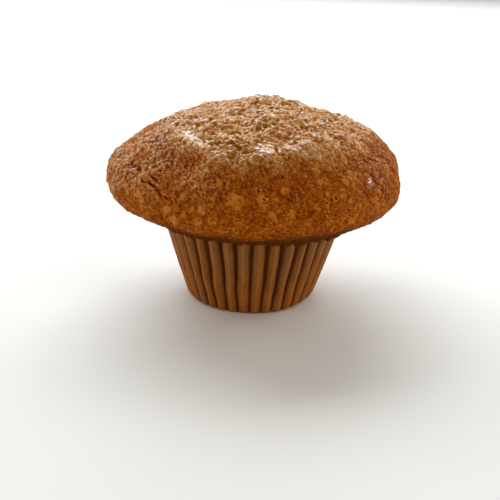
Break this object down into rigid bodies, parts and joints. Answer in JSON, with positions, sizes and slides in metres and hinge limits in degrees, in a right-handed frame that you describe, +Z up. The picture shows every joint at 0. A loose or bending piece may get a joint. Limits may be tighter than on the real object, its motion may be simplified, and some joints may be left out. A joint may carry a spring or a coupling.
{
  "type": "muffin",
  "caption": "Large baked muffin with a wide, craggy domed crown that overhangs its pleated brown paper case; it stands on the case's flat round base.",
  "frame": {"origin": "centre of the paper case's flat base, on the surface that the muffin stands on", "axes": "+Z up through the crown, -Y towards the front, +X to the right of someone who faces the front"},
  "size_m": [0.1124, 0.1118, 0.0772],
  "materials": {
    "crust": "baked crust, orange-brown, with a faint oily sheen",
    "baking_paper": "brown greaseproof paper, darkened by oil"
  },
  "bodies": {
    "root": {"muffin": "crust", "paper_case": "baking_paper"}
  },
  "joints": []
}
